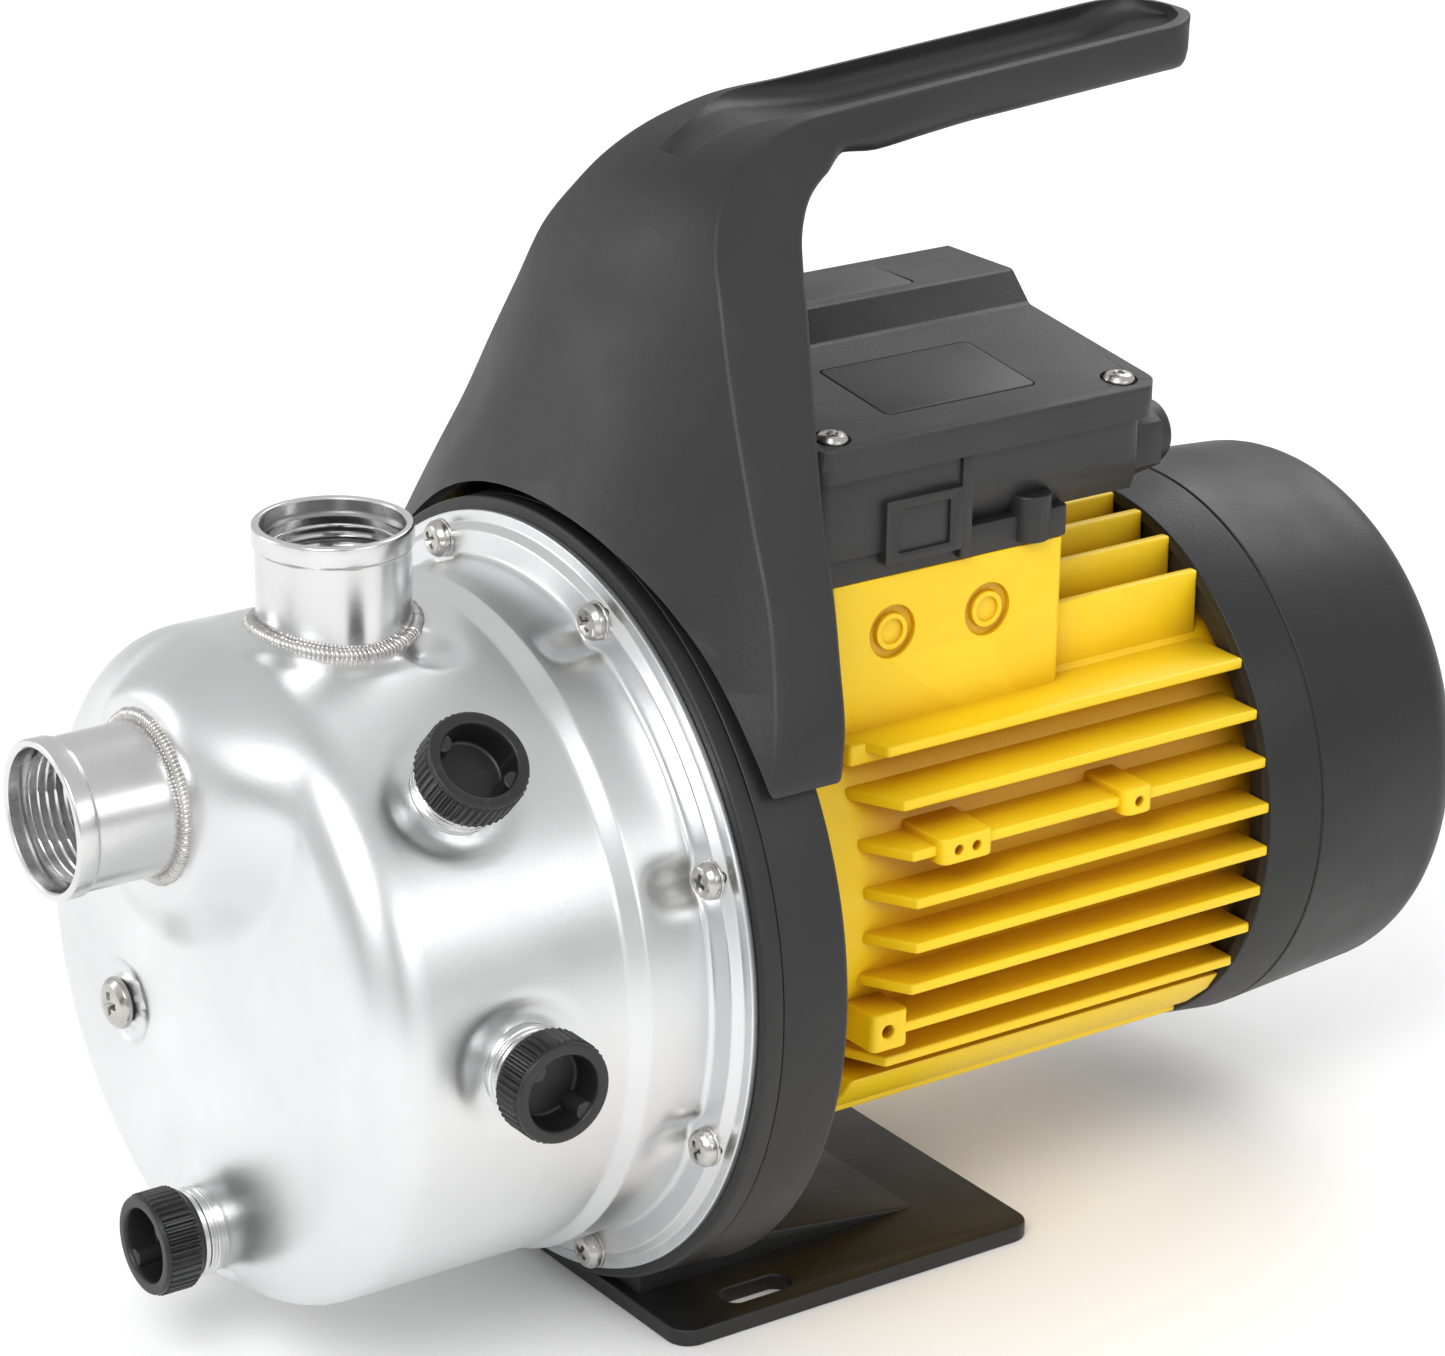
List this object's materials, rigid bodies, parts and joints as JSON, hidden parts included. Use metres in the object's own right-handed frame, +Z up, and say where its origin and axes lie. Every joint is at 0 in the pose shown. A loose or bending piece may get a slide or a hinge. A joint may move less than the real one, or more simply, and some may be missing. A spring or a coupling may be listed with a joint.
{
  "type": "shallow well jet pump",
  "caption": "Portable self-priming jet pump: stainless pump housing on a finned electric motor, with two female ports, screw plugs, slotted foot and carrying handle.",
  "frame": {"origin": "on the underside of the foot, below the shaft, midway between the two fixing slots", "axes": "+Z up, along the discharge port; +Y along the shaft, from the suction port to the fan; +X to the side with the screw plugs"},
  "size_m": [0.1982, 0.3762, 0.2972],
  "materials": {
    "stainless": "satin drawn sheet",
    "stainless_turned": "fine turned",
    "weld_steel": "rippled weld bead",
    "cap_plastic": "matt, ribbed",
    "rubber": "matt",
    "screw_steel": "bright zinc or stainless",
    "seal_plate_steel": "satin",
    "bracket_paint": "black paint, fine grain",
    "handle_plastic": "fine spark-eroded grain",
    "motor_paint": "warm yellow gloss paint on a casting",
    "shield_alloy": "as cast",
    "cover_plastic": "fine grain",
    "box_plastic": "coarse grain",
    "label_plastic": "smooth blank plate",
    "ejector_plastic": "glass-filled",
    "impeller_plastic": "moulded",
    "brass": "turned",
    "seal_ceramic": "lapped",
    "seal_carbon": "lapped carbon",
    "spring_steel": "ground",
    "bearing_steel": "polished",
    "core_steel": "laminated",
    "copper": "varnished copper wire",
    "fan_plastic": "moulded",
    "terminal_plastic": "moulded",
    "capacitor_plastic": "moulded case"
  },
  "bodies": {
    "pump": {"adapter_bracket": "bracket_paint", "box_base": "box_plastic", "box_gasket": "rubber", "box_lid": "box_plastic", "box_screws": "screw_steel", "cable_gland": "box_plastic", "capacitor": "capacitor_plastic", "cover_screws": "screw_steel", "diffuser": "ejector_plastic", "discharge_port": "stainless_turned", "ejector_body": "ejector_plastic", "ejector_oring": "rubber", "fan_cover": "cover_plastic", "flange_screws": "screw_steel", "flange_washers": "screw_steel", "front_bearing_outer": "bearing_steel", "front_ring": "bracket_paint", "front_screw": "screw_steel", "front_screw_seal": "rubber", "gland_nut": "box_plastic", "handle": "handle_plastic", "handle_screws": "screw_steel", "housing_oring": "rubber", "jet_nozzle": "brass", "label_plates": "label_plastic", "lid_screws": "screw_steel", "motor_housing": "motor_paint", "motor_screws": "screw_steel", "plug_necks": "stainless_turned", "port_welds": "weld_steel", "pump_housing": "stainless", "rear_bearing_outer": "bearing_steel", "rear_shield": "shield_alloy", "seal_plate": "seal_plate_steel", "seal_seat": "seal_ceramic", "shield_screws": "screw_steel", "stator_core": "core_steel", "suction_port": "stainless_turned", "terminal_block": "terminal_plastic", "wave_washer": "spring_steel", "windings": "copper"},
    "rotor": {"shaft": "spring_steel", "rotor_core": "core_steel", "impeller": "impeller_plastic", "impeller_nut": "screw_steel", "seal_rotor": "seal_carbon", "seal_spring": "spring_steel", "fan": "fan_plastic", "fan_clip": "screw_steel", "front_bearing_inner": "bearing_steel", "rear_bearing_inner": "bearing_steel", "slinger": "rubber"},
    "front_balls": {"front_bearing_balls": "bearing_steel"},
    "rear_balls": {"rear_bearing_balls": "bearing_steel"},
    "fill_seal": {"fill_gasket": "rubber"},
    "fill_plug": {"fill_cap": "cap_plastic"},
    "side_seal": {"side_gasket": "rubber"},
    "side_plug": {"side_cap": "cap_plastic"},
    "drain_seal": {"drain_gasket": "rubber"},
    "drain_plug": {"drain_cap": "cap_plastic"}
  },
  "joints": [
    {"name": "shaft_spin", "type": "hinge", "parent": "pump", "child": "rotor", "pos_m": [0, 0.029, 0.1], "axis": [0, 1, 0], "continuous": true},
    {"name": "front_balls_orbit", "type": "hinge", "parent": "pump", "child": "front_balls", "pos_m": [0, 0.0025, 0.1], "axis": [0, 1, 0], "continuous": true},
    {"name": "rear_balls_orbit", "type": "hinge", "parent": "pump", "child": "rear_balls", "pos_m": [0, 0.1325, 0.1], "axis": [0, 1, 0], "continuous": true},
    {"name": "fill_plug_lift", "type": "slide", "parent": "pump", "child": "fill_seal", "axis": [0.6947, 0, 0.7193], "range_m": [0, 0.00936]},
    {"name": "fill_plug_unscrew", "type": "hinge", "parent": "fill_seal", "child": "fill_plug", "pos_m": [0.05724, -0.09, 0.15927], "axis": [0.6947, 0, 0.7193], "range_deg": [0, 2522]},
    {"name": "side_plug_lift", "type": "slide", "parent": "pump", "child": "side_seal", "axis": [1, 0, 0], "range_m": [0, 0.00936]},
    {"name": "side_plug_unscrew", "type": "hinge", "parent": "side_seal", "child": "side_plug", "pos_m": [0.0824, -0.087, 0.1], "axis": [1, 0, 0], "range_deg": [0, 2522]},
    {"name": "drain_plug_lift", "type": "slide", "parent": "pump", "child": "drain_seal", "axis": [0, -1, 0], "range_m": [0, 0.00936]},
    {"name": "drain_plug_unscrew", "type": "hinge", "parent": "drain_seal", "child": "drain_plug", "pos_m": [0, -0.1252, 0.034], "axis": [0, -1, 0], "range_deg": [0, 2522]}
  ],
  "couplings": [
    {"joint": "front_balls_orbit", "follows": "shaft_spin", "ratio": 0.384},
    {"joint": "rear_balls_orbit", "follows": "shaft_spin", "ratio": 0.384},
    {"joint": "fill_plug_unscrew", "follows": "fill_plug_lift", "rad_per_m": 4699.5},
    {"joint": "side_plug_unscrew", "follows": "side_plug_lift", "rad_per_m": 4699.5},
    {"joint": "drain_plug_unscrew", "follows": "drain_plug_lift", "rad_per_m": 4699.5}
  ]
}
